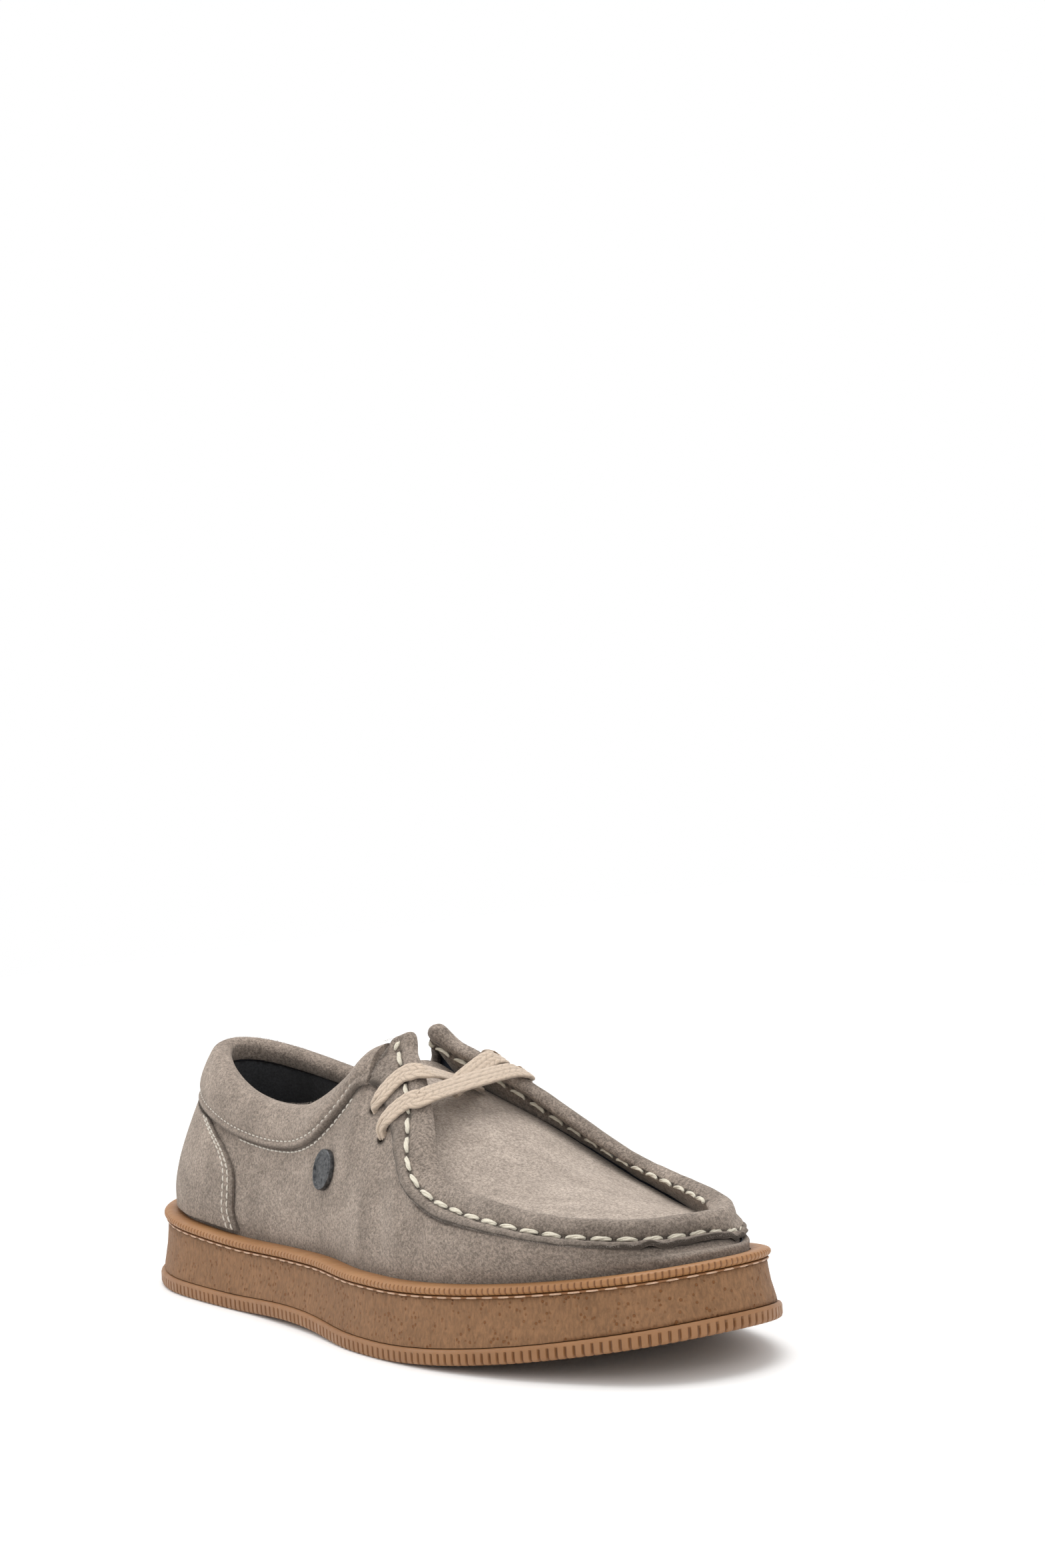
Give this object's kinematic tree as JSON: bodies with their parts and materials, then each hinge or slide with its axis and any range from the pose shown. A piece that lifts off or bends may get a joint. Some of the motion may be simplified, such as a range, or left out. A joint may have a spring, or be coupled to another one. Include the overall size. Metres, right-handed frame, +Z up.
{
  "type": "casual shoe",
  "caption": "Right low casual shoe: suede moccasin upper with raised toe seam and padded collar on a gum rubber cup sole.",
  "frame": {"origin": "floor point under the middle of the shoe's box", "axes": "+X towards the toe, -Y towards the outer side of the foot, +Z up"},
  "size_m": [0.3, 0.1062, 0.0946],
  "materials": {
    "outsole": "gum rubber, satin, moulded ribs",
    "midsole": "gum rubber with dark specks, matte",
    "welt": "gum rubber bead, satin",
    "insole": "dark navy lining leather",
    "upper": "taupe suede",
    "apron": "lighter taupe suede",
    "seam_binding": "taupe suede, cut edge",
    "collar": "padded taupe suede",
    "heel_counter": "taupe suede",
    "badge": "dark gunmetal",
    "lace": "flat braided cotton"
  },
  "bodies": {
    "root": {"outsole": "outsole", "midsole": "midsole", "welt": "welt", "insole": "insole", "upper": "upper", "apron": "apron", "seam_binding": "seam_binding", "collar": "collar", "heel_counter": "heel_counter", "badge": "badge", "lace": "lace"}
  },
  "joints": []
}
